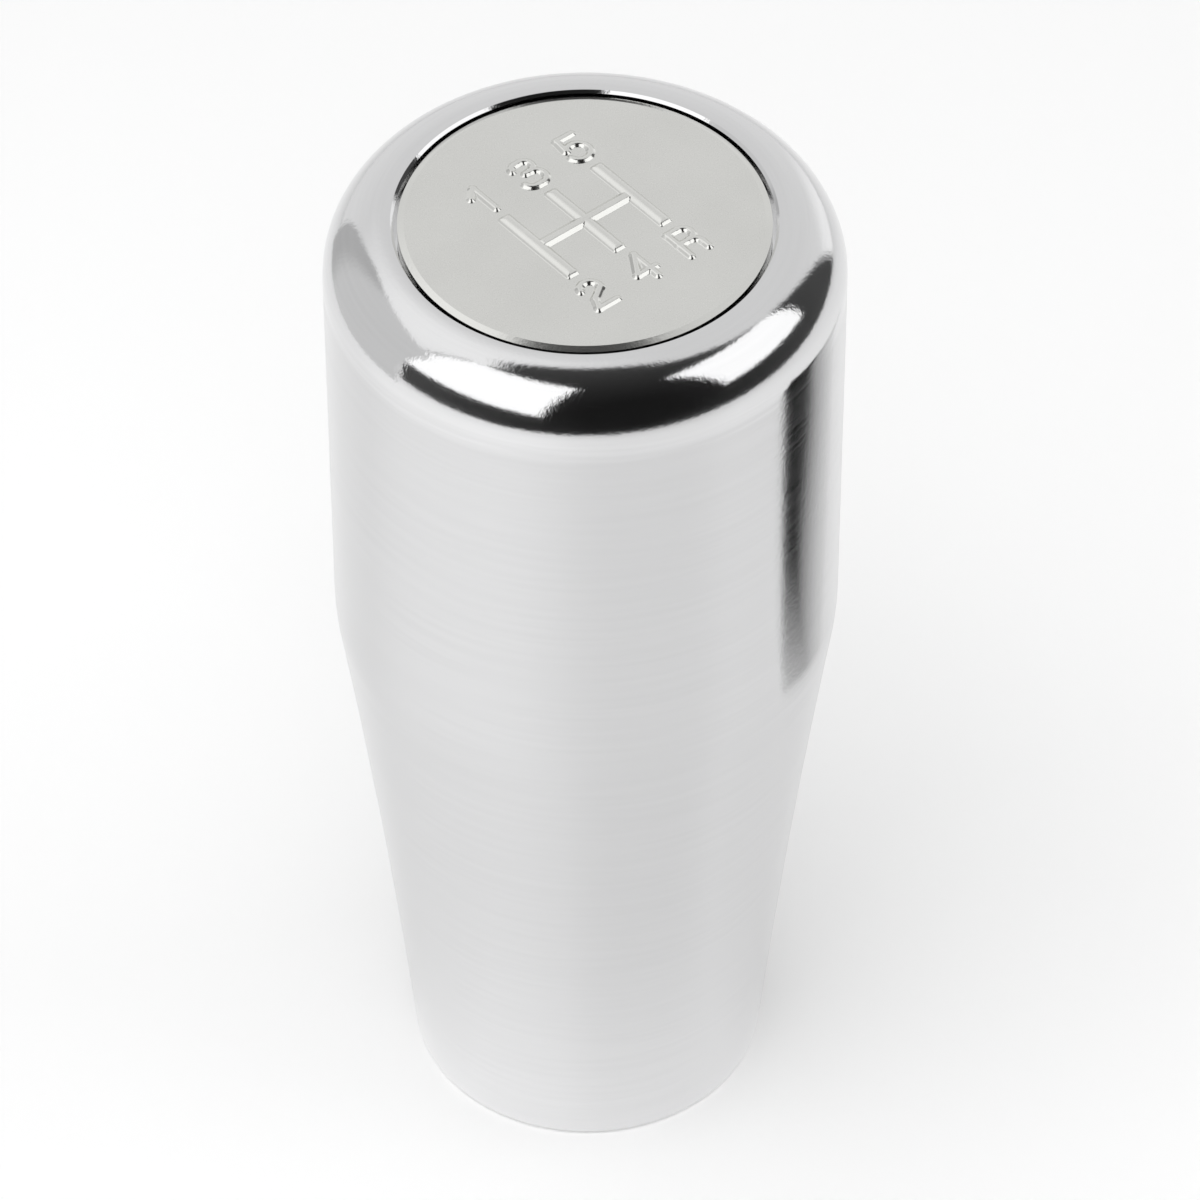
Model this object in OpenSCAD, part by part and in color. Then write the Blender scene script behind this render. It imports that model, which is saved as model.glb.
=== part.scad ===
// Tall turned gear shift knob with a gate pattern plate and a threaded insert for the lever
// Millimetres, +Z up the knob's axis, origin at the centre of the base, +Y the way first gear lies

/* [Body] */
// Diameter of the upper, cylindrical part
body_d = 38; // [34:0.5:46]
// Height from the base to the top rim
body_h = 85.5; // [75:0.5:110]
// Radius of the polished shoulder at the top
shoulder_r = 5; // [2:0.1:5]
// Diameter of the base
base_d = 27.6; // [24:0.2:32]
// Height at which the taper runs out into the cylinder
taper_h = 47.5; // [35:0.5:60]
// How far the taper's side is hollowed below a straight line
taper_hollow = 0.3; // [0.1:0.05:0.8]
// Radius that blends the taper into the cylinder
blend_r = 25; // [8:1:60]
// Chamfer round the base
base_chamfer = 0.4; // [0.2:0.1:1]

/* [Plate] */
// Diameter of the recess in the top
recess_d = 27.6; // [24:0.1:27.6]
// Chamfer on the lip of the recess
lip_chamfer = 0.2; // [0.05:0.05:0.2]
// Clearance all round the plate
plate_gap = 0.3; // [0.1:0.05:0.4]
// Thickness of the plate
plate_t = 1.5; // [1:0.1:2.5]
// Depth of the plate's face below the lip
plate_drop = 0.1; // [0.05:0.05:0.8]
// Chamfer on the plate's upper edge
plate_chamfer = 0.3; // [0.1:0.05:0.6]
// Thickness of the adhesive pad under the plate
pad_t = 0.3; // [0.2:0.05:0.8]
// Distance of the pad's edge from the plate's edge
pad_inset = 1; // [0.5:0.1:3]

/* [Gate pattern] */
// Distance between the gate's lanes
lane_pitch = 4.3; // [3.5:0.1:5]
// Length of each lane
lane_l = 8.2; // [6:0.1:10]
// Width of the raised bars at their foot
bar_w = 1.2; // [1.1:0.05:1.6]
// Height of the raised bars above the plate's face
bar_h = 0.25; // [0.15:0.05:0.3]
// Angle of the bars' sides and ends from the plate's face
bar_slope = 30; // [30:1:60]

/* [Lever thread] */
// Nominal diameter of the lever's thread
thread_d = 10; // [8:1:12]
// Pitch of the lever's thread
thread_pitch = 1.5; // [1:0.25:1.75]
// Diameter of the insert's shank
insert_d = 14.5; // [14:0.1:16]
// Length of the insert, flange included
insert_l = 22; // [14:1:30]
// Diameter of the insert's flange
flange_d = 19; // [17:0.5:21]
// Thickness of the insert's flange
flange_t = 2; // [1.5:0.1:4]
// Depth of the flange's face above the base
flange_drop = 0.5; // [0.2:0.1:1.5]
// Clearance round the insert
insert_gap = 0.05; // [0.02:0.01:0.1]
// Chamfer on the mouth of the insert's bore
mouth_chamfer = 1; // [0.5:0.1:1.5]
// Length of the drilled pocket past the insert, for the lever's end
pocket_l = 10; // [4:1:20]
// Angle of the drill's point
drill_angle = 118; // [90:1:140]

/* [Hidden] */

// Facets of the turned surfaces and of the long taper arc
turned_fn = 180;
taper_fn = 1440;
// Overshoot of the cutting shapes
cut = 1;

body_r = body_d / 2;
base_r = base_d / 2;
recess_r = recess_d / 2;
recess_h = plate_drop + plate_t + pad_t;
floor_z = body_h - recess_h;

plate_r = recess_r - plate_gap;
plate_z = floor_z + pad_t;
face_z = plate_z + plate_t;

// Taper: an arc through the base's edge and the cylinder's, hollowed by taper_hollow
chord = [body_r - base_r, taper_h];
chord_l = norm(chord);
taper_r = (pow(chord_l / 2, 2) + pow(taper_hollow, 2)) / (2 * taper_hollow);
outward = [chord[1], -chord[0]] / chord_l;
taper_c = [base_r, 0] + chord / 2 + outward * (taper_r - taper_hollow);

// Blend: a circle inside the cylinder's line that touches the taper's arc from outside it
blend_x = body_r - blend_r;
blend_z = taper_c[1] + sqrt(pow(taper_r + blend_r, 2) - pow(taper_c[0] - blend_x, 2));
blend_c = [blend_x, blend_z];
touch = taper_c + (blend_c - taper_c) * taper_r / (taper_r + blend_r);

// Thread: the insert's bore is the thread's crest, at the basic minor diameter
bore_r = (thread_d - 1.0825 * thread_pitch) / 2;
insert_r = insert_d / 2;
flange_r = flange_d / 2;
flange_top = flange_drop + flange_t;
insert_top = flange_drop + insert_l;
pocket_r = thread_d / 2 + 0.3;

module shoulder_cut() {
    difference() {
        translate([body_r - shoulder_r, body_h - shoulder_r])
            square(shoulder_r + cut);
        translate([body_r - shoulder_r, body_h - shoulder_r])
            circle(r = shoulder_r, $fn = turned_fn);
    }
}

module taper_cut() {
    intersection() {
        translate(taper_c) circle(r = taper_r, $fn = taper_fn);
        translate([0, -cut]) square([body_r + cut, touch[1] + cut]);
    }
}

module blend_cut() {
    difference() {
        translate([touch[0], touch[1]])
            square([body_r + cut - touch[0], blend_z - touch[1]]);
        translate(blend_c) circle(r = blend_r, $fn = taper_fn);
    }
}

module base_chamfer_cut() {
    polygon([
        [base_r - base_chamfer - cut, -cut],
        [base_r + cut, -cut],
        [base_r + cut, base_chamfer + cut]
    ]);
}

module recess_cut() {
    translate([0, floor_z]) square([recess_r, recess_h + cut]);
    polygon([
        [0, body_h - lip_chamfer],
        [recess_r, body_h - lip_chamfer],
        [recess_r + lip_chamfer + cut, body_h + cut],
        [0, body_h + cut]
    ]);
}

// Counterbore for the flange, bore for the shank, and the pocket with its drill point
module insert_cut() {
    shank_r = insert_r + insert_gap;
    pocket_top = insert_top + pocket_l;
    translate([0, -cut]) square([flange_r + insert_gap, flange_top + cut]);
    square([shank_r, insert_top]);
    square([pocket_r, pocket_top]);
    polygon([
        [0, pocket_top - cut],
        [pocket_r, pocket_top - cut],
        [pocket_r, pocket_top],
        [0, pocket_top + pocket_r / tan(drill_angle / 2)]
    ]);
}

module knob_body() {
    color([0.83, 0.83, 0.84])
    rotate_extrude($fn = turned_fn)
    difference() {
        square([body_r, body_h]);
        shoulder_cut();
        taper_cut();
        blend_cut();
        base_chamfer_cut();
        recess_cut();
        insert_cut();
    }
}

module plate_disc() {
    rotate_extrude($fn = turned_fn)
    translate([0, plate_z])
        polygon([
            [0, 0],
            [plate_r, 0],
            [plate_r, plate_t - plate_chamfer],
            [plate_r - plate_chamfer, plate_t],
            [0, plate_t]
        ]);
}

// Section of a raised bar, sloped on both sides of its flat crown and rooted in the plate
module bar_section(w) {
    crown = w / 2 - bar_h / tan(bar_slope);
    polygon([
        [-w / 2, -bar_h], [w / 2, -bar_h], [w / 2, 0],
        [crown, bar_h], [-crown, bar_h], [-w / 2, 0]
    ]);
}

// A raised bar, sloped on all four sides: its long section meets its end section
module raised_bar(size_x, size_y) {
    intersection() {
        rotate([90, 0, 0])
            linear_extrude(size_y, center = true) bar_section(size_x);
        rotate([90, 0, 90])
            linear_extrude(size_x, center = true) bar_section(size_y);
    }
}

module gate_pattern() {
    for (lane = [-1, 0, 1])
        translate([lane * lane_pitch, 0, 0]) raised_bar(bar_w, lane_l);
    raised_bar(2 * lane_pitch + bar_w, bar_w);
}

module pattern_plate() {
    color([0.78, 0.78, 0.76])
    union() {
        plate_disc();
        translate([0, 0, face_z]) gate_pattern();
    }
}

module plate_adhesive() {
    color([0.16, 0.16, 0.17])
    translate([0, 0, floor_z])
        cylinder(r = plate_r - pad_inset, h = pad_t, $fn = turned_fn);
}

module thread_insert() {
    color([0.78, 0.62, 0.32])
    rotate_extrude($fn = turned_fn)
    difference() {
        union() {
            translate([0, flange_drop]) square([flange_r, flange_t]);
            translate([0, flange_drop]) square([insert_r, insert_l]);
        }
        square([bore_r, insert_top + cut]);
        polygon([
            [0, flange_drop - cut],
            [bore_r + mouth_chamfer + cut, flange_drop - cut],
            [bore_r, flange_drop + mouth_chamfer],
            [0, flange_drop + mouth_chamfer]
        ]);
    }
}

knob_body();
pattern_plate();
plate_adhesive();
thread_insert();
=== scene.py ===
import math

import bmesh
import bpy
import numpy as np
from mathutils import Matrix, Vector
from mathutils.geometry import delaunay_2d_cdt


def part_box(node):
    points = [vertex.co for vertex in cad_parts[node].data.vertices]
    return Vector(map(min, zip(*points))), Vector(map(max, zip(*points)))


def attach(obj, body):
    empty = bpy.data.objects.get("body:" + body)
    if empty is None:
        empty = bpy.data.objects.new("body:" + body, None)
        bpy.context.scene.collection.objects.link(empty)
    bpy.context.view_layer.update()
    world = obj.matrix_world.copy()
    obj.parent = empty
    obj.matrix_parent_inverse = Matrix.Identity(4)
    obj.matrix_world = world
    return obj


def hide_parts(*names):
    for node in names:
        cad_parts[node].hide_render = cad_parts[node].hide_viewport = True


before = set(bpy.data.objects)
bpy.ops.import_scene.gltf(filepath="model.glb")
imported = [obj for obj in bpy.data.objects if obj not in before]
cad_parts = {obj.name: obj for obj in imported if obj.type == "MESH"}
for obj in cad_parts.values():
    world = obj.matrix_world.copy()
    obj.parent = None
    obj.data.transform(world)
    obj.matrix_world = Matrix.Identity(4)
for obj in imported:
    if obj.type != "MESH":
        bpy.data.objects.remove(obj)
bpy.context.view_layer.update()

# Lengths below are in millimetres, as in the solids, and meshes are scaled to metres when they are made
MM = 0.001
TINY = 1e-6


def corners_of(node):
    """Lowest and highest corner of a CAD node, in millimetres."""
    low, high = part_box(node)
    return low / MM, high / MM


body_low, body_high = corners_of("knob_body")
plate_low, plate_high = corners_of("pattern_plate")
pad_low, pad_high = corners_of("plate_adhesive")
insert_low, insert_high = corners_of("thread_insert")

# Body
BODY_R = body_high.x
BODY_H = body_high.z
SHOULDER_R = 5.0
BASE_R = 13.8
TAPER_H = 47.5
TAPER_HOLLOW = 0.3
BLEND_R = 25.0
BASE_CHAMFER = 0.4
LIP_CHAMFER = 0.2
POCKET_R = 5.3
POCKET_L = 10.0
DRILL_ANGLE = 118.0

# Plate
PLATE_R = plate_high.x
PLATE_GAP = 0.3
BEVEL_W = 0.48
BEVEL_DROP = 0.165
RECESS_R = PLATE_R + PLATE_GAP
RECESS_Z = pad_low.z
BAR_H = 0.25
FACE_Z = plate_high.z - BAR_H

# Raised gate pattern, seen from above with first gear's lane at the left and its end upwards
LANE_PITCH = 4.3
LANE_L = 8.2
BAR_W = 1.2
BAR_CORNER = 0.25
LANE_SLOPE = 38.0
CROSSBAR_SLOPE = 32.0
NUMERAL_SLOPE = 38.0
NUMERAL_BLEND = 0.12
NUMERAL_RISE = 0.2
NUMERAL_STROKE = 0.75
NUMERAL_H = 3.5
NUMERAL_Y = 6.4

# Insert
INSERT_GAP = 0.05
FLANGE_R = insert_high.x
FLANGE_T = 2.0
FLANGE_TOP = insert_low.z + FLANGE_T
INSERT_R = 7.25
INSERT_TOP = insert_high.z
MOUTH_CHAMFER = 1.0
THREAD_D = 10.0
THREAD_PITCH = 1.5
THREAD_MAJOR_R = THREAD_D / 2
THREAD_MINOR_R = THREAD_MAJOR_R - 0.54125 * THREAD_PITCH
THREAD_RUN_OUT = 0.75 * THREAD_PITCH
THREAD_EDGE_DEG = 25

# Facets round the axis and along the arcs of the body's profile
TURNED_SEGMENTS = 360
THREAD_SEGMENTS = 96
SHOULDER_STEPS = 60
BLEND_STEPS = 12
TAPER_STEPS = 40

# Distances between the points of the plate's face: along the pattern's contours, in the grid that finds
# them, and on the flat, with what the flat's points leave clear beside the pattern and the bevel
CONTOUR_SPACING = 0.085
SEARCH_SPACING = 0.05
FLAT_SPACING = 0.55
PATTERN_CLEARANCE = 0.25
BEVEL_CLEARANCE = 0.3

# Step over which slopes are measured, the least steepness that the search for a contour divides by, and how
# near to its contour a point has to come
SLOPE_STEP = 0.004
LEAST_STEEPNESS = 0.2
CONTOUR_TOLERANCE = 0.01

# Camera, as found from the knob's outline in the photograph
CAMERA_AZIMUTH = -39.5
CAMERA_ELEVATION = 46.1
CAMERA_DISTANCE = 547.2
CAMERA_AIM_Z = 41.8
CAMERA_LENS = 215.5
CAMERA_RIGHT = 1.04
CAMERA_UP = 3.15
CAMERA_ROLL = -0.0038


def turned(section, angle):
    """A point or a direction of a section, given as (outwards, upwards), turned about the axis."""
    return (section[0] * math.cos(angle), section[0] * math.sin(angle), section[1])


class Shell:
    """A mesh in the making: vertices, faces, and a normal for each corner of each face."""

    def __init__(self):
        self.vertices = []
        self.faces = []
        self.normals = []

    def ring(self, radius, height, segments):
        """Adds a ring of vertices about the axis, or one vertex on the axis, and returns their numbers."""
        first = len(self.vertices)
        if radius < TINY:
            self.vertices.append((0, 0, height))
            return [first] * segments
        for angle in np.arange(segments) * math.tau / segments:
            self.vertices.append(turned((radius, height), angle))
        return list(range(first, first + segments))

    def face(self, corners, normals):
        """Adds a face, leaving out a corner that repeats the one before it."""
        kept = [i for i in range(len(corners)) if corners[i] != corners[i - 1]]
        if len(kept) > 2:
            self.faces.append([corners[i] for i in kept])
            self.normals.extend(normals[i] for i in kept)

    def band(self, upper, lower, upper_normal, lower_normal):
        """Joins two rings, each with one normal given as (outwards, upwards)."""
        segments = len(upper)
        angles = np.arange(segments + 1) * math.tau / segments
        start = [turned(upper_normal, angle) for angle in angles]
        end = [turned(lower_normal, angle) for angle in angles]
        for j in range(segments):
            k = (j + 1) % segments
            self.face(
                [upper[j], lower[j], lower[k], upper[k]],
                [start[j], end[j], end[j + 1], start[j + 1]],
            )

    def revolve(self, runs, segments, ring=None):
        """Turns a profile about the axis. Runs share a ring where they meet but keep their normals."""
        for run in runs:
            if ring is None:
                ring = self.ring(run[0][0], run[0][1], segments)
            for before, point in zip(run, run[1:]):
                following = self.ring(point[0], point[1], segments)
                self.band(ring, following, before[2:], point[2:])
                ring = following
        return ring

    def build(self, name, material):
        """Makes the object, in metres, with the corner normals as its shading."""
        mesh = bpy.data.meshes.new(name)
        mesh.from_pydata([Vector(v) * MM for v in self.vertices], [], self.faces)
        mesh.shade_smooth()
        mesh.normals_split_custom_set([Vector(n).normalized() for n in self.normals])
        mesh.materials.append(material)
        piece = bpy.data.objects.new(name, mesh)
        bpy.context.scene.collection.objects.link(piece)
        return piece


def line(start, end):
    """A straight run of a profile, as rows of (r, z, normal r, normal z), with the solid on its right."""
    along = Vector((end[0] - start[0], end[1] - start[1])).normalized()
    return [(*start, -along.y, along.x), (*end, -along.y, along.x)]


def arc(centre, radius, first_deg, last_deg, steps):
    """A round run of a profile, as rows of (r, z, normal r, normal z), with the solid on its right."""
    side = 1 if last_deg < first_deg else -1
    rows = []
    for angle in np.radians(np.linspace(first_deg, last_deg, steps + 1)):
        out = (math.cos(angle), math.sin(angle))
        place = (centre[0] + radius * out[0], centre[1] + radius * out[1])
        rows.append((*place, side * out[0], side * out[1]))
    return rows


def body_profile():
    """The body's section, from the middle of the plate's recess out over the rim and back up the bore."""
    chord = Vector((BODY_R - BASE_R, TAPER_H))
    taper_r = ((chord.length / 2) ** 2 + TAPER_HOLLOW ** 2) / (2 * TAPER_HOLLOW)
    outward = Vector((chord.y, -chord.x)).normalized()
    taper_c = Vector((BASE_R, 0)) + chord / 2 + outward * (taper_r - TAPER_HOLLOW)
    blend_x = BODY_R - BLEND_R
    blend_z = taper_c.y + math.sqrt((taper_r + BLEND_R) ** 2 - (taper_c.x - blend_x) ** 2)
    blend_turn = math.degrees(math.atan2(blend_z - taper_c.y, taper_c.x - blend_x))
    chamfer_rise = math.degrees(math.asin((BASE_CHAMFER - taper_c.y) / taper_r))
    chamfer_r = taper_c.x - taper_r * math.cos(math.radians(chamfer_rise))
    shoulder_c = (BODY_R - SHOULDER_R, BODY_H - SHOULDER_R)
    lip_r = RECESS_R + LIP_CHAMFER
    lip_turn = math.degrees(math.acos((lip_r - shoulder_c[0]) / SHOULDER_R))
    lip_z = shoulder_c[1] + SHOULDER_R * math.sin(math.radians(lip_turn))
    shank_r = INSERT_R + INSERT_GAP
    pocket_top = INSERT_TOP + POCKET_L
    tip_z = pocket_top + POCKET_R / math.tan(math.radians(DRILL_ANGLE / 2))
    return [
        line((0, RECESS_Z), (RECESS_R, RECESS_Z)),
        line((RECESS_R, RECESS_Z), (RECESS_R, BODY_H - LIP_CHAMFER)),
        line((RECESS_R, BODY_H - LIP_CHAMFER), (lip_r, lip_z)),
        arc(shoulder_c, SHOULDER_R, lip_turn, 0, SHOULDER_STEPS),
        line((BODY_R, shoulder_c[1]), (BODY_R, blend_z)),
        arc((blend_x, blend_z), BLEND_R, 0, -blend_turn, BLEND_STEPS),
        arc(taper_c, taper_r, 180 - blend_turn, 180 - chamfer_rise, TAPER_STEPS),
        line((chamfer_r, BASE_CHAMFER), (BASE_R - BASE_CHAMFER, 0)),
        line((BASE_R - BASE_CHAMFER, 0), (FLANGE_R + INSERT_GAP, 0)),
        line((FLANGE_R + INSERT_GAP, 0), (FLANGE_R + INSERT_GAP, FLANGE_TOP)),
        line((FLANGE_R + INSERT_GAP, FLANGE_TOP), (shank_r, FLANGE_TOP)),
        line((shank_r, FLANGE_TOP), (shank_r, INSERT_TOP)),
        line((shank_r, INSERT_TOP), (POCKET_R, INSERT_TOP)),
        line((POCKET_R, INSERT_TOP), (POCKET_R, pocket_top)),
        line((POCKET_R, pocket_top), (0, tip_z)),
    ]


def make_body(material):
    shell = Shell()
    shell.revolve(body_profile(), TURNED_SEGMENTS)
    return shell.build("turned_body", material)


def to_line(points, start, end):
    """Distance of each point from a straight stroke's middle line."""
    start = np.array(start)
    along = np.array(end) - start
    share = np.clip((points - start) @ along / (along @ along), 0, 1)
    return np.linalg.norm(points - start - share[:, None] * along, axis=1)


def to_arc(points, centre, radius, first_deg, last_deg):
    """Distance of each point from a round stroke's middle line."""
    middle = math.radians((first_deg + last_deg) / 2)
    half = math.radians(abs(last_deg - first_deg) / 2)
    away = points - np.array(centre)
    turn = np.arctan2(away[:, 1], away[:, 0]) - middle
    turn = np.clip((turn + math.pi) % math.tau - math.pi, -half, half) + middle
    nearest = radius * np.column_stack([np.cos(turn), np.sin(turn)])
    return np.linalg.norm(away - nearest, axis=1)


def to_box(points, half_x, half_y, corner):
    """Signed distance of each point from a box with round corners, below zero inside it."""
    over = np.abs(points) - np.array([half_x - corner, half_y - corner])
    outside = np.linalg.norm(np.maximum(over, 0), axis=1)
    return outside + np.minimum(over.max(axis=1), 0) - corner


def blended(first, second, width):
    """The lesser of two distances, rounded over a width where they are alike."""
    near = np.maximum(width - np.abs(first - second), 0) / width
    return np.minimum(first, second) - near ** 2 * width / 4


# Half the height and half the width of a numeral's middle line. Each numeral below is a list of distances
# to its strokes, about its own middle.
NH = (NUMERAL_H - NUMERAL_STROKE) / 2
NW = 0.85


def numeral_1(p):
    stem = 0.2
    flag = (-0.62, NH - 0.85)
    return [to_line(p, (stem, -NH), (stem, NH)), to_line(p, (stem, NH), flag)]


def numeral_2(p):
    hook = 0.76
    neck = (0.7, NH - 1.04)
    knee = (-0.45, -0.46)
    return [
        to_arc(p, (0, NH - hook), hook, 165, -22),
        to_line(p, neck, knee),
        to_line(p, knee, (-NW, -NH)),
        to_line(p, (-NW, -NH), (NW, -NH)),
    ]


def numeral_3(p):
    upper = 0.62
    lower = NH - upper
    flat = 0.2
    strokes = []
    for bowl, middle, first, last in ((upper, NH - upper, 90, 165), (lower, lower - NH, -90, -168)):
        strokes.append(to_arc(p, (flat, middle), bowl, 90, -90))
        strokes.append(to_arc(p, (-flat, middle), bowl, first, last))
    for height in (NH, NH - 2 * upper, -NH):
        strokes.append(to_line(p, (-flat, height), (flat, height)))
    return strokes


def numeral_4(p):
    stem = 0.35
    bar = -0.5
    return [
        to_line(p, (stem, -NH), (stem, NH)),
        to_line(p, (stem, NH), (-NW, bar)),
        to_line(p, (-NW, bar), (NW, bar)),
    ]


def numeral_5(p):
    bowl = 0.89
    corner = (-0.6, NH)
    shoulder = (-0.72, 0.12)
    return [
        to_line(p, corner, (NW, NH)),
        to_line(p, corner, shoulder),
        to_arc(p, (0, bowl - NH), bowl, 138, -166),
    ]


def letter_r(p):
    bowl = 0.68
    flat = 0.12
    leg = flat + bowl
    bend = NH - 3 * bowl
    return [
        to_line(p, (-NW, -NH), (-NW, NH)),
        to_line(p, (-NW, NH), (flat, NH)),
        to_line(p, (-NW, NH - 2 * bowl), (flat, NH - 2 * bowl)),
        to_arc(p, (flat, NH - bowl), bowl, 90, -90),
        to_arc(p, (flat, bend), bowl, 90, 0),
        to_line(p, (leg, bend), (leg, -NH)),
    ]


# Each mark with its lane, from -1 to 1, and the end of the lane that it stands at
MARKS = [
    (numeral_1, -1, 1),
    (numeral_2, -1, -1),
    (numeral_3, 0, 1),
    (numeral_4, 0, -1),
    (numeral_5, 1, 1),
    (letter_r, 1, -1),
]


def lanes_depth(points):
    """How far each point lies inside the outline of the gate's lanes, below zero outside it."""
    lanes = [points - np.array([lane * LANE_PITCH, 0]) for lane in (-1, 0, 1)]
    return -np.min([to_box(here, BAR_W / 2, LANE_L / 2, BAR_CORNER) for here in lanes], axis=0)


def crossbar_depth(points):
    """How far each point lies inside the outline of the crossbar, which ends in the outer lanes."""
    return -to_box(points, LANE_PITCH, BAR_W / 2, BAR_CORNER)


def marks_depth(points):
    """How far each point lies inside the outline of the numerals, below zero outside it."""
    near = np.full(len(points), np.inf)
    for strokes, lane, end in MARKS:
        here = points - np.array([lane * LANE_PITCH, end * NUMERAL_Y])
        for stroke in strokes(here):
            near = blended(near, stroke, NUMERAL_BLEND)
    return NUMERAL_STROKE / 2 - near


# Each raised form: its depth inside its outline, its height, its slope, and how far its foot and its crown
# are rounded to either side, as shares of the slope's width
FORMS = [
    (lanes_depth, BAR_H, LANE_SLOPE, 0.1, 0.85),
    (crossbar_depth, BAR_H, CROSSBAR_SLOPE, 0.08, 0.15),
    (marks_depth, NUMERAL_RISE, NUMERAL_SLOPE, 0.12, 0.3),
]


def ramp(share, rounding):
    """0 below a share of 0 and the share itself above it, with the bend between them rounded."""
    bend = np.clip(share + rounding, 0, 2 * rounding) ** 2 / (4 * rounding)
    return bend + np.maximum(share - rounding, 0)


def relief(points):
    """Height of the raised pattern above the plate's face: slopes inside each outline, up to its crown."""
    heights = []
    for depth, rise, slope, foot, crown in FORMS:
        share = depth(points) * math.tan(math.radians(slope)) / rise
        heights.append(rise * (ramp(share, foot) - ramp(share - 1, crown)))
    return np.max(heights, axis=0)


def gradient(field, points):
    """How much a field of depths or heights rises at each point, towards +X and towards +Y."""
    east = field(points + [SLOPE_STEP, 0]) - field(points - [SLOPE_STEP, 0])
    north = field(points + [0, SLOPE_STEP]) - field(points - [0, SLOPE_STEP])
    return np.column_stack([east, north]) / (2 * SLOPE_STEP)


def relief_normals(points):
    """The raised pattern's normal at each point."""
    normals = np.column_stack([-gradient(relief, points), np.ones(len(points))])
    return normals / np.linalg.norm(normals, axis=1)[:, None]


def on_contour(depth, level, grid):
    """Points of a grid that lie near one depth, drawn onto it."""
    points = grid[np.abs(depth(grid) - level) < SEARCH_SPACING]
    for _ in range(3):
        slope = gradient(depth, points)
        steepness = np.maximum((slope ** 2).sum(axis=1), LEAST_STEEPNESS)
        points = points - slope * ((depth(points) - level) / steepness)[:, None]
    return points[np.abs(depth(points) - level) < CONTOUR_TOLERANCE]


def thinned(points, spacing):
    """Those of the points that are at least the spacing from all that are kept before them."""
    kept = []
    cells = {}
    for x, y in points:
        i = int(math.floor(x / spacing))
        j = int(math.floor(y / spacing))
        near = [q for a in (i - 1, i, i + 1) for b in (j - 1, j, j + 1) for q in cells.get((a, b), ())]
        if all((x - u) ** 2 + (y - v) ** 2 >= spacing ** 2 for u, v in near):
            cells.setdefault((i, j), []).append((x, y))
            kept.append((x, y))
    return kept


def square_grid(half_x, half_y, spacing):
    xs = np.arange(-half_x, half_x + spacing, spacing)
    ys = np.arange(-half_y, half_y + spacing, spacing)
    return np.array(np.meshgrid(xs, ys)).reshape(2, -1).T


def contour_shares(foot, crown):
    """Depths of a form's contours, as shares of its slope's width: at its foot, half-way and at its crown."""
    return [*np.linspace(-foot, foot, 3), (foot + 1 - crown) / 2, *np.linspace(1 - crown, 1 + crown, 7)]


def pattern_points():
    """Points along the contours of the raised pattern, closest together where it bends."""
    grid = square_grid(LANE_PITCH + 2, NUMERAL_Y + NUMERAL_H, SEARCH_SPACING)
    kept = []
    for depth, rise, slope, foot, crown in FORMS:
        width = rise / math.tan(math.radians(slope))
        for share in contour_shares(foot, crown):
            kept.extend(thinned(on_contour(depth, share * width, grid), CONTOUR_SPACING))
    return kept


def flat_points():
    """Points on the flat of the face round the pattern, further apart."""
    grid = square_grid(PLATE_R, PLATE_R, FLAT_SPACING)
    inside = np.linalg.norm(grid, axis=1) < PLATE_R - BEVEL_W - BEVEL_CLEARANCE
    clear = np.max([form[0](grid) for form in FORMS], axis=0) < -PATTERN_CLEARANCE
    return [tuple(point) for point in grid[inside & clear]]


def make_plate(material):
    """The plate with its raised pattern: a triangulated face, then a turned rim, side and underside."""
    shell = Shell()
    rim_r = PLATE_R - BEVEL_W
    rim = shell.ring(rim_r, FACE_Z, TURNED_SEGMENTS)
    outer = [Vector(vertex[:2]) for vertex in shell.vertices]
    inner = [Vector(point) for point in pattern_points() + flat_points()]
    same_point = 1e-5
    found, _, faces, sources, _, _ = delaunay_2d_cdt(outer + inner, [], [], 0, same_point)
    places = np.array([tuple(point) for point in found])
    heights = relief(places)
    normals = relief_normals(places)
    numbers = []
    for place, height, source in zip(places, heights, sources):
        first = min(source)
        if first < len(rim):
            numbers.append(rim[first])
        else:
            numbers.append(len(shell.vertices))
            shell.vertices.append((place[0], place[1], FACE_Z + height))
    for corners in faces:
        shell.face([numbers[i] for i in corners], [tuple(normals[i]) for i in corners])
    edge_z = FACE_Z - BEVEL_DROP
    shell.revolve(
        [
            line((rim_r, FACE_Z), (PLATE_R, edge_z)),
            line((PLATE_R, edge_z), (PLATE_R, plate_low.z)),
            line((PLATE_R, plate_low.z), (0, plate_low.z)),
        ],
        TURNED_SEGMENTS,
        rim,
    )
    return shell.build("gate_plate", material)


def thread_rows():
    """One pitch of the internal thread, as (share of the pitch, radius): a crest a quarter of the pitch
    wide, a root an eighth wide, and a row half-way up each flank."""
    half_crest = 1 / 8
    half_root = 1 / 16
    flank = (half_crest + 0.5 - half_root) / 2
    middle_r = (THREAD_MINOR_R + THREAD_MAJOR_R) / 2
    return [
        (-half_crest, THREAD_MINOR_R),
        (half_crest, THREAD_MINOR_R),
        (flank, middle_r),
        (0.5 - half_root, THREAD_MAJOR_R),
        (0.5 + half_root, THREAD_MAJOR_R),
        (1 - flank, middle_r),
    ]


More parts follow.
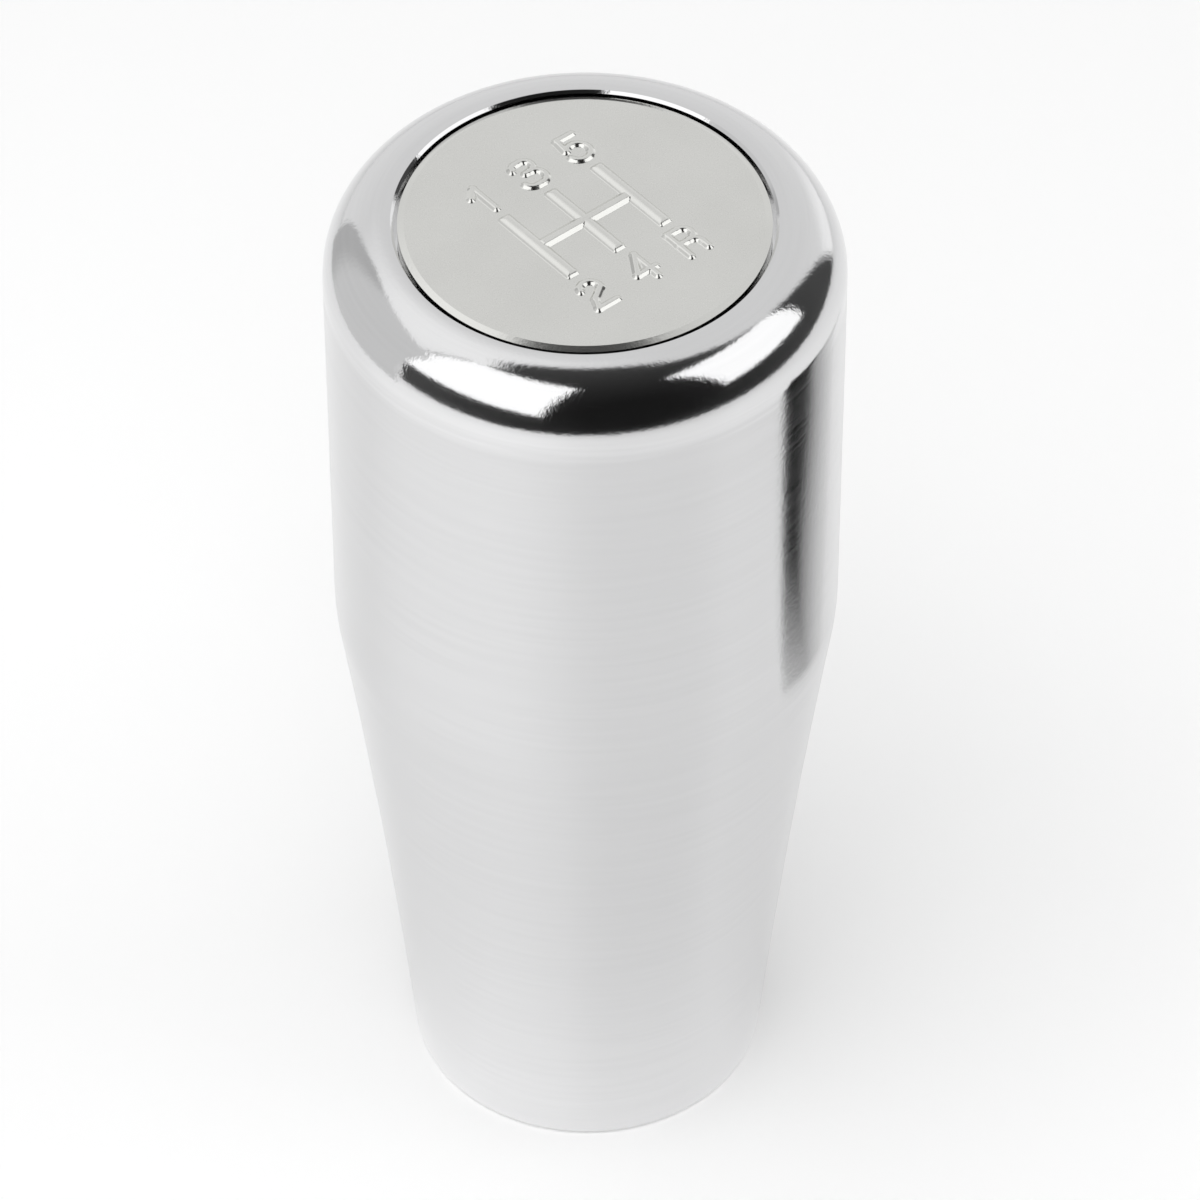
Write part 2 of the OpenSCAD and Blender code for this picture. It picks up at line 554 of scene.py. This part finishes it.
def insert_mesh():
    """The insert's outside, then its threaded bore, with rows that follow the helix."""
    shell = Shell()
    bore_low = insert_low.z + MOUTH_CHAMFER
    mouth_r = THREAD_MINOR_R + MOUTH_CHAMFER
    shell.revolve(
        [
            line((THREAD_MINOR_R, INSERT_TOP), (INSERT_R, INSERT_TOP)),
            line((INSERT_R, INSERT_TOP), (INSERT_R, FLANGE_TOP)),
            line((INSERT_R, FLANGE_TOP), (FLANGE_R, FLANGE_TOP)),
            line((FLANGE_R, FLANGE_TOP), (FLANGE_R, insert_low.z)),
            line((FLANGE_R, insert_low.z), (mouth_r, insert_low.z)),
            line((mouth_r, insert_low.z), (THREAD_MINOR_R, bore_low)),
        ],
        THREAD_SEGMENTS,
    )
    pitches = math.ceil((INSERT_TOP - bore_low) / THREAD_PITCH) + 2
    rows = [(turn + share, radius) for turn in range(pitches) for share, radius in thread_rows()]
    first = len(shell.vertices)
    for j in range(THREAD_SEGMENTS + 1):
        lead = j / THREAD_SEGMENTS
        angle = lead * math.tau
        for turns, radius in rows:
            z = bore_low + (turns - 1 + lead) * THREAD_PITCH
            z = min(max(z, bore_low), INSERT_TOP)
            end = min(z - bore_low, INSERT_TOP - z, THREAD_RUN_OUT) / THREAD_RUN_OUT
            r = THREAD_MINOR_R + (radius - THREAD_MINOR_R) * end
            shell.vertices.append(turned((r, z), angle))
    for j in range(THREAD_SEGMENTS):
        for i in range(len(rows) - 1):
            low = first + j * len(rows) + i
            side = low + len(rows)
            shell.faces.append([low, low + 1, side + 1, side])
    return shell


def make_insert(material):
    """The insert, with edges sharper than the thread's facets kept crisp."""
    shell = insert_mesh()
    mesh = bpy.data.meshes.new("lever_insert")
    mesh.from_pydata([Vector(v) * MM for v in shell.vertices], [], shell.faces)
    mesh.materials.append(material)
    piece = bpy.data.objects.new("lever_insert", mesh)
    bpy.context.scene.collection.objects.link(piece)
    weld(mesh)
    mesh.shade_smooth()
    mesh.set_sharp_from_angle(angle=math.radians(THREAD_EDGE_DEG))
    return piece


def weld(mesh):
    """Joins vertices that lie on each other, which also drops faces without area."""
    same_place = 0.0005 * MM
    no_length = 0.0001 * MM
    editing = bmesh.new()
    editing.from_mesh(mesh)
    bmesh.ops.remove_doubles(editing, verts=editing.verts, dist=same_place)
    bmesh.ops.dissolve_degenerate(editing, edges=editing.edges, dist=no_length)
    editing.to_mesh(mesh)
    editing.free()


def set_inputs(tree, node, inputs):
    """Sets or links a node's inputs, given by name or number."""
    for name, value in inputs.items():
        if isinstance(value, bpy.types.NodeSocket):
            tree.links.new(value, node.inputs[name])
        else:
            node.inputs[name].default_value = value


def add_node(tree, kind, inputs=None, **settings):
    """Adds a node with its settings and its inputs."""
    node = tree.nodes.new(kind)
    for name, value in settings.items():
        setattr(node, name, value)
    set_inputs(tree, node, inputs or {})
    return node


def calculated(tree, operation, first, *others):
    """Folds two or more values with an operation that takes two."""
    for other in others:
        first = add_node(tree, "ShaderNodeMath", {0: first, 1: other}, operation=operation).outputs[0]
    return first


def mapped(tree, value, from_low, from_high, to_low, to_high, smooth=False):
    """A value carried from one pair of limits to another, and held past them."""
    kind = "SMOOTHSTEP" if smooth else "LINEAR"
    limits = {0: value, 1: from_low, 2: from_high, 3: to_low, 4: to_high}
    return add_node(tree, "ShaderNodeMapRange", limits, interpolation_type=kind).outputs[0]


def mix_colours(tree, share, first, second):
    """A colour between two, by a share from 0 to 1."""
    inputs = {0: share, 6: (*first, 1), 7: (*second, 1)}
    return add_node(tree, "ShaderNodeMix", inputs, data_type="RGBA").outputs[2]


def place_of(tree):
    """The place on the object, in metres."""
    return add_node(tree, "ShaderNodeTexCoord").outputs["Object"]


def parts_of(tree, vector):
    return add_node(tree, "ShaderNodeSeparateXYZ", {0: vector}).outputs


def length_of(tree, vector):
    return add_node(tree, "ShaderNodeVectorMath", {0: vector}, operation="LENGTH").outputs["Value"]


def way_of(tree, vector):
    """A vector's direction, with a length of 1."""
    return add_node(tree, "ShaderNodeVectorMath", {0: vector}, operation="NORMALIZE").outputs[0]


def run_along(tree, vector, way):
    """How far a vector reaches in a direction."""
    inputs = {0: vector, 1: tuple(way)}
    return add_node(tree, "ShaderNodeVectorMath", inputs, operation="DOT_PRODUCT").outputs["Value"]


def noise(tree, place, scale, detail, roughness):
    inputs = {"Vector": place, "Scale": scale, "Detail": detail, "Roughness": roughness}
    return add_node(tree, "ShaderNodeTexNoise", inputs).outputs["Fac"]


def bumped(tree, height, depth_mm, normal=None):
    """The normal of a surface that rises by a depth where the height goes from 0 to 1."""
    inputs = {"Strength": 1.0, "Distance": depth_mm * MM, "Height": height}
    if normal is not None:
        inputs["Normal"] = normal
    return add_node(tree, "ShaderNodeBump", inputs).outputs[0]


def new_material(name):
    """A material, with its tree and its shader."""
    material = bpy.data.materials.new(name)
    material.use_nodes = True
    tree = material.node_tree
    return material, tree, tree.nodes["Principled BSDF"]


def turned_parts(tree):
    """The place on the object as x, y and z, and its distance from the axis, in metres."""
    parts = parts_of(tree, place_of(tree))
    flat = add_node(tree, "ShaderNodeCombineXYZ", {0: parts[0], 1: parts[1]}).outputs[0]
    return parts, length_of(tree, flat)


def turned_noise(tree, parts, radius, along_mm, across_mm, detail):
    """Noise drawn out round the axis, as a tool leaves it: long round the axis and fine across it."""
    across = calculated(tree, "SUBTRACT", parts[2], radius)
    row = add_node(tree, "ShaderNodeCombineXYZ", {0: parts[0], 1: parts[1], 2: across}).outputs[0]
    scale = (1 / (along_mm * MM), 1 / (along_mm * MM), 1 / (across_mm * MM))
    scaled = add_node(tree, "ShaderNodeVectorMath", {0: row, 1: scale}, operation="MULTIPLY").outputs[0]
    return noise(tree, scaled, 1.0, detail, 0.6)


def turned_metal(tree, shader, anisotropy):
    """Makes a shader a metal whose grain runs round the axis."""
    tangent = add_node(tree, "ShaderNodeTangent", direction_type="RADIAL", axis="Z").outputs[0]
    settings = {"Metallic": 1, "Anisotropic": anisotropy, "Anisotropic Rotation": 0.25, "Tangent": tangent}
    set_inputs(tree, shader, settings)


# Parts of a noise's range that are spread over the whole of a finish's range: the wider, the softer
WIDE = (0.25, 0.75)
MIDDLE = (0.3, 0.7)
NARROW = (0.35, 0.65)

# Height over which the brushed side gives way to the polished shoulder, and how unevenly it does
POLISH_FROM = BODY_H - SHOULDER_R - 1.6
POLISH_TO = BODY_H - SHOULDER_R + 0.9
POLISH_RAGGED = 0.35

# Finishes: colours as pairs that are mixed, and roughness as the range that it varies over
BODY_COLOURS = ((0.742, 0.742, 0.747), (0.758, 0.758, 0.763))
# Share of the body's colour kept on the brushed side below the shoulder: painted shade that darkens the side
BRUSHED_PAINTED_SHADE = 0.89
BRUSHED_ROUGHNESS = (0.085, 0.135)
POLISHED_ROUGHNESS = (0.05, 0.09)
PLATE_COLOURS = ((0.735, 0.735, 0.71), (0.76, 0.76, 0.735))
SATIN_ROUGHNESS = (0.2, 0.28)
SLOPE_ROUGHNESS = 0.15
BRASS_COLOURS = ((0.72, 0.53, 0.25), (0.8, 0.62, 0.32))
BRASS_ROUGHNESS = (0.2, 0.34)
FOAM_COLOURS = ((0.035, 0.035, 0.038), (0.075, 0.075, 0.08))
FOAM_ROUGHNESS = (0.75, 0.95)

# What the normal's upward part is on the plate's slopes and on its flats
SLOPED_AND_FLAT = (0.93, 0.995)


def body_material():
    """Turned aluminium: fine grooves round the axis, and a polished shoulder, a little uneven. The brushed
    side's colour is made darker as painted shade.
    """
    material, tree, shader = new_material("turned_aluminium")
    parts, radius = turned_parts(tree)
    coarse = turned_noise(tree, parts, radius, 14, 0.5, 3)
    fine = turned_noise(tree, parts, radius, 7, 0.11, 2)
    ragged = mapped(tree, coarse, *MIDDLE, -POLISH_RAGGED * MM, POLISH_RAGGED * MM)
    height = calculated(tree, "ADD", parts[2], ragged)
    polish = mapped(tree, height, POLISH_FROM * MM, POLISH_TO * MM, 0, 1, smooth=True)
    brushed = mapped(tree, fine, *WIDE, *BRUSHED_ROUGHNESS)
    polished = mapped(tree, fine, *WIDE, *POLISHED_ROUGHNESS)
    roughness = add_node(tree, "ShaderNodeMix", {0: polish, 2: brushed, 3: polished}).outputs[0]
    colour = mix_colours(tree, mapped(tree, coarse, *NARROW, 0, 1), *BODY_COLOURS)
    # Painted shade: the colour is scaled down on the brushed side, so it is darker than the polished shoulder
    tone = mapped(tree, polish, 0, 1, BRUSHED_PAINTED_SHADE, 1)
    shaded_colour = add_node(tree, "ShaderNodeVectorMath", {0: colour, "Scale": tone}, operation="SCALE").outputs[0]
    grooves = calculated(tree, "MULTIPLY", fine, mapped(tree, polish, 0, 1, 1, 0.35))
    uneven = noise(tree, place_of(tree), 1 / (0.36 * MM), 3.0, 0.6)
    normal = bumped(tree, grooves, 0.0004, bumped(tree, uneven, 0.008))
    set_inputs(tree, shader, {"Roughness": roughness, "Base Color": shaded_colour, "Normal": normal})
    turned_metal(tree, shader, 0.98)
    return material


def plate_material():
    """Pressed aluminium: a fine satin grain on the flats, and polished slopes and edge."""
    material, tree, shader = new_material("pressed_aluminium")
    place = place_of(tree)
    grain = noise(tree, place, 1 / (0.12 * MM), 2.0, 0.6)
    cloud = noise(tree, place, 1 / (6 * MM), 3.0, 0.55)
    uneven = noise(tree, place, 1 / (0.35 * MM), 2.0, 0.5)
    upright = parts_of(tree, add_node(tree, "ShaderNodeNewGeometry").outputs["Normal"])[2]
    flat = mapped(tree, upright, *SLOPED_AND_FLAT, 0, 1, smooth=True)
    satin = mapped(tree, grain, *MIDDLE, *SATIN_ROUGHNESS)
    roughness = add_node(tree, "ShaderNodeMix", {0: flat, 2: SLOPE_ROUGHNESS, 3: satin}).outputs[0]
    colour = mix_colours(tree, mapped(tree, cloud, *NARROW, 0, 1), *PLATE_COLOURS)
    normal = bumped(tree, grain, 0.0007, bumped(tree, uneven, 0.004))
    finish = {"Roughness": roughness, "Base Color": colour, "Normal": normal, "Metallic": 1}
    set_inputs(tree, shader, finish)
    return material


def insert_material():
    """Turned brass, with fine rings on its faces and a little darkening in patches."""
    material, tree, shader = new_material("turned_brass")
    parts, radius = turned_parts(tree)
    rings = turned_noise(tree, parts, radius, 9, 0.1, 2)
    patches = turned_noise(tree, parts, radius, 6, 2.5, 3)
    colour = mix_colours(tree, mapped(tree, patches, *MIDDLE, 0, 1), *BRASS_COLOURS)
    roughness = mapped(tree, rings, *WIDE, *BRASS_ROUGHNESS)
    normal = bumped(tree, rings, 0.006)
    set_inputs(tree, shader, {"Roughness": roughness, "Base Color": colour, "Normal": normal})
    turned_metal(tree, shader, 0.6)
    return material


def foam_material():
    """Dark foam tape with fine open cells."""
    material, tree, shader = new_material("foam_tape")
    texture = add_node(tree, "ShaderNodeTexVoronoi", {"Vector": place_of(tree), "Scale": 1 / (0.15 * MM)})
    cells = texture.outputs["Distance"]
    colour = mix_colours(tree, cells, *FOAM_COLOURS)
    roughness = mapped(tree, cells, 0, 1, *FOAM_ROUGHNESS)
    normal = bumped(tree, cells, 0.03)
    set_inputs(tree, shader, {"Roughness": roughness, "Base Color": colour, "Normal": normal})
    return material


# Studio. Directions are (azimuth to the right of the camera, elevation) in degrees, and levels are shares
# of white. Distances are in metres, unless a name says MM.
SKY_LEVEL = 0.52
SKY_LEVEL_ABOVE = 0.4472

# The floor: half its size, its tone to all but metal and to metal, and the light that it gives by itself
# to the camera and to metal, with a painted pool of light added to each right at the knob's foot
FLOOR_HALF = 3.0
FLOOR_TONE = (0.92, 0.92, 0.92)
MIRRORED_TONE = (0.66, 0.66, 0.66)
FLOOR_LIFT = 0.135
MIRRORED_LIFT = 0.36
FOOT_PAINTED_LIGHT = 0.06
MIRRORED_FOOT_PAINTED_LIGHT = 0.32
# The painted pool of light at the foot fades in between two distances from its middle, and between two
# cosines to the front
FOOT_LIGHT_REACH_MM = (38, 12)
FOOT_LIGHT_FRONT = (-0.1, 0.7)
# What metal mirrors besides, as spots on the floor: a painted reflection at the left that grows with the
# distance from a share of itself, and painted shade in front that takes light away
LEFT_PAINTED_REFLECTION = (-55, 0, 0.62, 0.1)
LEFT_REFLECTION_REACH_MM = (30, 70)
LEFT_REFLECTION_SHARE = 0.4
FRONT_PAINTED_SHADE = (25, 0, 0.8, -0.06)

# Lamps for the floor: name, azimuth, elevation, distance, size, and the share of white that each gives it
FLOOR_LAMPS = [
    ("left_lamp", -60, 75, 0.5, 0.45, 0.33),
    ("front_lamp", -15, 55, 0.6, 0.45, 0.22),
]

# Softboxes: name, azimuth, lean, distance, left and right edges, lower and upper edges, and level
SOFTBOXES = [
    ("left_softbox", -46, 12, 0.345, (-0.21, 0.173), (0.053, 0.643), 1.35),
    ("right_softbox", 63, 28, 0.503, (-0.03, 0.395), (-0.062, 0.372), 1.3),
]
SOFTBOX_FADE = 0.03
SOFTBOX_END_LEVEL = 0.1

# The unlit parts of the studio: each a direction and the cosines to it between which the edge fades. Then
# the middle of the unlit room, and its levels away from there and there
UNLIT_PARTS = [
    (14, 5, -0.02, 0.02),
    (39, -9, -0.04, 0.04),
    (0, 90, 0.945, 0.975),
]
UNLIT_MIDDLE = (20, 25)
UNLIT_LEVELS = (0.07, 0.012)

# The lit backdrop's level low down and overhead, and its brighter spots: a direction, the cosine at the
# spot's edge, and what is added in its middle
LIT_LEVELS = (0.85, 0.79)
LIT_SPOTS = [
    (138, -5, 0.92, 0.2),
    (-118, 60, 0.8, 0.26),
]
SURROUNDINGS_R = 0.8

# The grey card: where it stands, half its width as seen from the axis, and its levels far and near
CARD_AZIMUTH = -107.5
CARD_DISTANCE = 0.26
CARD_HALF_DEG = 30.5
CARD_LEVELS = (0.52, 0.7)

# The flag's corners: to the right of the knob's axis, towards the camera, and up
FLAG_CORNERS_MM = [
    (60.5, 3.9, 0),
    (49, -25, 0),
    (48, -31, 45),
    (60.8, 6.6, 45),
]
# It is black until so far behind the knob's axis, at its lower heights and at its upper ones
FLAG_BLACK_TO_MM = (4.5, 9)
FLAG_HEIGHTS_MM = (18, 34)
# Past that it fades to grey, and then to pale. Its foot fades to pale too, from a height downwards.
FLAG_GREY_AFTER_MM = 4
FLAG_PALE_AFTER_MM = 16
FLAG_FOOT_MM = 16.5
FLAG_BLACK = 0.008
FLAG_GREY = 0.36
FLAG_PALE = 0.76
FLAG_FOOT_LEVEL = 0.68


def around(azimuth, elevation, distance=1.0):
    """A place round the knob, by its angle to the right of the camera and its height as an angle."""
    turn = math.radians(CAMERA_AZIMUTH + azimuth)
    rise = math.radians(elevation)
    flat = distance * math.cos(rise)
    return Vector((flat * math.sin(turn), -flat * math.cos(turn), distance * math.sin(rise)))


def facing(tree, way, azimuth, elevation):
    """The cosine of the angle between a direction and a place round the knob."""
    return run_along(tree, way, around(azimuth, elevation))


def spot(tree, way, azimuth, elevation, edge, extra):
    """What is added round a direction: nothing at the cosine of the spot's edge, and all in its middle."""
    return mapped(tree, facing(tree, way, azimuth, elevation), edge, 1, 0, extra, smooth=True)


def make_camera():
    """The photograph's camera, aimed beside the knob's middle so that the framing needs no shift."""
    back = around(0, CAMERA_ELEVATION)
    right = around(90, 0)
    up = back.cross(right)
    aim = Vector((0, 0, CAMERA_AIM_Z))
    place = aim + back * CAMERA_DISTANCE
    target = aim + right * CAMERA_RIGHT + up * CAMERA_UP
    away = (place - target).normalized()
    camera_right = up.cross(away).normalized()
    camera_up = away.cross(camera_right)
    turn = Matrix((camera_right, camera_up, away)).transposed().to_4x4()
    data = bpy.data.cameras.new("camera")
    data.lens = CAMERA_LENS
    data.sensor_width = 36
    data.clip_start = 0.01
    data.clip_end = 20
    camera = bpy.data.objects.new("camera", data)
    camera.matrix_world = Matrix.Translation(place * MM) @ turn @ Matrix.Rotation(CAMERA_ROLL, 4, "Z")
    bpy.context.scene.collection.objects.link(camera)
    bpy.context.scene.camera = camera


def stage_quad(name, corners, material):
    """A flat card of the studio."""
    mesh = bpy.data.meshes.new(name)
    mesh.from_pydata(corners, [], [range(len(corners))])
    mesh.materials.append(material)
    quad = bpy.data.objects.new(name, mesh)
    bpy.context.scene.collection.objects.link(quad)
    return quad


def painted_foot_light_share(tree, way, reach):
    """Painted pool of light: 1 at the knob's foot in front, where its polish throws light onto the floor, and
    0 further off.
    """
    near = mapped(tree, reach, FOOT_LIGHT_REACH_MM[0] * MM, FOOT_LIGHT_REACH_MM[1] * MM, 0, 1)
    ahead = mapped(tree, facing(tree, way, 0, 0), *FOOT_LIGHT_FRONT, 0, 1)
    return calculated(tree, "MULTIPLY", near, near, ahead)


def floor_glow(tree, path):
    """Light that the floor gives by itself, to the camera and, a little brighter at the left, to metal: an
    even glow, a painted pool of light at the knob's foot, and for metal alone a painted reflection at the
    left and painted shade in front.
    """
    place = place_of(tree)
    way = way_of(tree, place)
    reach = length_of(tree, place)
    foot = painted_foot_light_share(tree, way, reach)
    # Painted pool of light at the knob's foot, added to the floor's even glow
    seen = mapped(tree, foot, 0, 1, FLOOR_LIFT, FLOOR_LIFT + FOOT_PAINTED_LIGHT)
    mirrored = mapped(tree, foot, 0, 1, MIRRORED_LIFT, MIRRORED_LIFT + MIRRORED_FOOT_PAINTED_LIGHT)
    near, far = LEFT_REFLECTION_REACH_MM
    further = mapped(tree, reach, near * MM, far * MM, LEFT_REFLECTION_SHARE, 1)
    # Painted reflection at the left and painted shade in front, both seen by metal alone
    left = calculated(tree, "MULTIPLY", spot(tree, way, *LEFT_PAINTED_REFLECTION), further)
    mirrored = calculated(tree, "ADD", mirrored, left, spot(tree, way, *FRONT_PAINTED_SHADE))
    to_camera = calculated(tree, "MULTIPLY", seen, path["Is Camera Ray"])
    to_metal = calculated(tree, "MULTIPLY", mirrored, path["Is Glossy Ray"])
    return calculated(tree, "MAXIMUM", to_camera, to_metal)


def make_floor():
    """A pale floor that takes the knob's shadow, which metal mirrors a little weaker."""
    material, tree, shader = new_material("pale_floor")
    path = add_node(tree, "ShaderNodeLightPath").outputs
    colour = mix_colours(tree, path["Is Glossy Ray"], FLOOR_TONE, MIRRORED_TONE)
    lights = {"Emission Color": (1, 1, 1, 1), "Emission Strength": floor_glow(tree, path)}
    set_inputs(tree, shader, {"Base Color": colour, "Roughness": 0.8, "Specular IOR Level": 0, **lights})
    corners = [(x * FLOOR_HALF, y * FLOOR_HALF, 0) for x, y in ((-1, -1), (1, -1), (1, 1), (-1, 1))]
    return stage_quad("floor", corners, material)


def make_floor_lamp(name, azimuth, elevation, distance, size, share):
    """A lamp for the floor, which metal doesn't mirror, set by the share of white that it gives there."""
    data = bpy.data.lights.new(name, "AREA")
    data.shape = "SQUARE"
    data.size = size
    data.energy = share * (math.pi * distance) ** 2 / math.sin(math.radians(elevation))
    lamp = bpy.data.objects.new(name, data)
    lamp.location = around(azimuth, elevation, distance)
    lamp.rotation_euler = lamp.location.to_track_quat("Z", "Y").to_euler()
    lamp.visible_glossy = False
    bpy.context.scene.collection.objects.link(lamp)
    return lamp


def glow_material(name):
    """A material that only gives light, with its tree and its emission node."""
    material = bpy.data.materials.new(name)
    material.use_nodes = True
    tree = material.node_tree
    tree.nodes.clear()
    glow = add_node(tree, "ShaderNodeEmission", {"Color": (1, 1, 1, 1)})
    add_node(tree, "ShaderNodeOutputMaterial", {0: glow.outputs[0]})
    return material, tree, glow


def only_in_reflections(piece):
    """Leaves a part of the studio to be seen in polished metal alone."""
    piece.visible_camera = False
    piece.visible_diffuse = False
    piece.visible_shadow = False


def make_softbox(name, azimuth, lean, distance, across, rise, level):
    """A softbox's white front. Its plane faces the knob's top, leant over it, and its left and right edges
    (across) and its lower and upper ones (rise) are measured from the plane's point nearest to the knob."""
    away = around(azimuth, lean)
    right = around(azimuth + 90, 0)
    up = away.cross(right)
    nearest = Vector((0, 0, BODY_H * MM)) + away * distance
    ends = (across[0] - SOFTBOX_FADE / 2, across[1] + SOFTBOX_FADE / 2)
    order = ((0, 0), (1, 0), (1, 1), (0, 1))
    corners = [nearest + right * ends[i] + up * rise[j] for i, j in order]
    material, tree, glow = glow_material(name)
    run = run_along(tree, place_of(tree), right)
    levels = []
    for end, inward in zip(ends, (1, -1)):
        start = nearest.dot(right) + end
        inner = start + inward * SOFTBOX_FADE
        levels.append(mapped(tree, run, start, inner, SOFTBOX_END_LEVEL, level, smooth=True))
    set_inputs(tree, glow, {"Strength": calculated(tree, "MINIMUM", *levels)})
    lamp = stage_quad(name, corners, material)
    lamp.visible_camera = False
    return lamp


def unlit_share(tree, way):
    """1 towards the unlit part of the studio: behind the camera, round to the right, and overhead."""
    shares = []
    for azimuth, elevation, outer, inner in UNLIT_PARTS:
        shares.append(mapped(tree, facing(tree, way, azimuth, elevation), outer, inner, 0, 1, smooth=True))
    return calculated(tree, "MAXIMUM", *shares)


def lit_level(tree, way):
    """Brightness of the lit backdrop: brighter low at the right, and high at the left."""
    base = mapped(tree, facing(tree, way, 0, 90), 0.1, 0.75, *LIT_LEVELS, smooth=True)
    return calculated(tree, "ADD", base, *[spot(tree, way, *lit) for lit in LIT_SPOTS])


def make_surroundings():
    """The studio as the metal mirrors it: a lit backdrop behind the knob, and an unlit room before it."""
    material, tree, glow = glow_material("surroundings")
    way = way_of(tree, place_of(tree))
    unlit = mapped(tree, facing(tree, way, *UNLIT_MIDDLE), 0, 0.95, *UNLIT_LEVELS)
    level = add_node(tree, "ShaderNodeMix", {0: unlit_share(tree, way), 2: lit_level(tree, way), 3: unlit})
    set_inputs(tree, glow, {"Strength": level.outputs[0]})
    bpy.ops.mesh.primitive_uv_sphere_add(
        segments=96,
        ring_count=48,
        radius=SURROUNDINGS_R,
        location=(0, 0, BODY_H * MM),
    )
    shell = bpy.context.object
    shell.name = "surroundings"
    shell.data.materials.append(material)
    only_in_reflections(shell)
    return shell


def make_grey_card():
    """A card that stands on the floor at the left, darker towards its far end."""
    toward = around(CARD_AZIMUTH, 0)
    along = around(CARD_AZIMUTH + 90, 0)
    half = CARD_DISTANCE * math.tan(math.radians(CARD_HALF_DEG))
    top = BODY_H * MM + CARD_DISTANCE
    order = ((-1, 0), (1, 0), (1, top), (-1, top))
    corners = [toward * CARD_DISTANCE + along * x * half + Vector((0, 0, z)) for x, z in order]
    material, tree, glow = glow_material("grey_card")
    run = run_along(tree, place_of(tree), along)
    level = mapped(tree, run, -0.75 * half, -0.35 * half, *CARD_LEVELS, smooth=True)
    set_inputs(tree, glow, {"Strength": level})
    card = stage_quad("grey_card", corners, material)
    only_in_reflections(card)
    return card


def flag_level(tree, toward):
    """The flag's level: black at its near end, grey and then pale towards its far end and at its foot."""
    place = place_of(tree)
    rise = parts_of(tree, place)[2]
    lower, upper = FLAG_HEIGHTS_MM
    short, long = FLAG_BLACK_TO_MM
    black_to = mapped(tree, rise, lower * MM, upper * MM, short * MM, long * MM)
    run = calculated(tree, "ADD", run_along(tree, place, toward), black_to)
    grey_at = -FLAG_GREY_AFTER_MM * MM
    grey = mapped(tree, run, 0, grey_at, FLAG_BLACK, FLAG_GREY, smooth=True)
    pale = mapped(tree, run, grey_at, -FLAG_PALE_AFTER_MM * MM, 0, FLAG_PALE - FLAG_GREY)
    foot = mapped(tree, rise, FLAG_FOOT_MM * MM, 0, 0, FLAG_FOOT_LEVEL)
    return calculated(tree, "MAXIMUM", calculated(tree, "ADD", grey, pale), foot)


def make_flag():
    """A narrow card that stands beside the knob, out of view, and shows as a dark stripe on its side."""
    right = around(90, 0)
    toward = around(0, 0)
    up = Vector((0, 0, 1))
    corners = [(right * x + toward * y + up * z) * MM for x, y, z in FLAG_CORNERS_MM]
    material, tree, glow = glow_material("black_card")
    set_inputs(tree, glow, {"Strength": flag_level(tree, toward)})
    flag = stage_quad("flag", corners, material)
    only_in_reflections(flag)
    return flag


def make_world():
    """A pale sky that lights the floor. Reflections leave it out and have their own surroundings."""
    world = bpy.data.worlds.new("backdrop")
    world.use_nodes = True
    tree = world.node_tree
    tree.nodes.clear()
    rise = parts_of(tree, add_node(tree, "ShaderNodeTexCoord").outputs["Generated"])[2]
    level = mapped(tree, rise, 0, 0.6, SKY_LEVEL, SKY_LEVEL_ABOVE, smooth=True)
    sky = add_node(tree, "ShaderNodeBackground", {"Color": (1, 1, 1, 1), "Strength": level})
    add_node(tree, "ShaderNodeOutputWorld", {0: sky.outputs[0]})
    bpy.context.scene.world = world
    world.cycles_visibility.glossy = False


def dress(piece, node):
    """Puts a piece under the root body and hides the CAD node that it stands for."""
    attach(piece, "root")
    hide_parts(node)


def finish_node(node, material):
    """Gives a CAD node that stays its material."""
    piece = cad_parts[node]
    piece.data.materials.clear()
    piece.data.materials.append(material)


make_camera()
make_world()
make_floor()
for lamp_row in FLOOR_LAMPS:
    make_floor_lamp(*lamp_row)
make_surroundings()
for softbox_row in SOFTBOXES:
    make_softbox(*softbox_row)
make_grey_card()
make_flag()

dress(make_body(body_material()), "knob_body")
dress(make_plate(plate_material()), "pattern_plate")
dress(make_insert(insert_material()), "thread_insert")
finish_node("plate_adhesive", foam_material())

bpy.context.scene.view_settings.view_transform = "Standard"
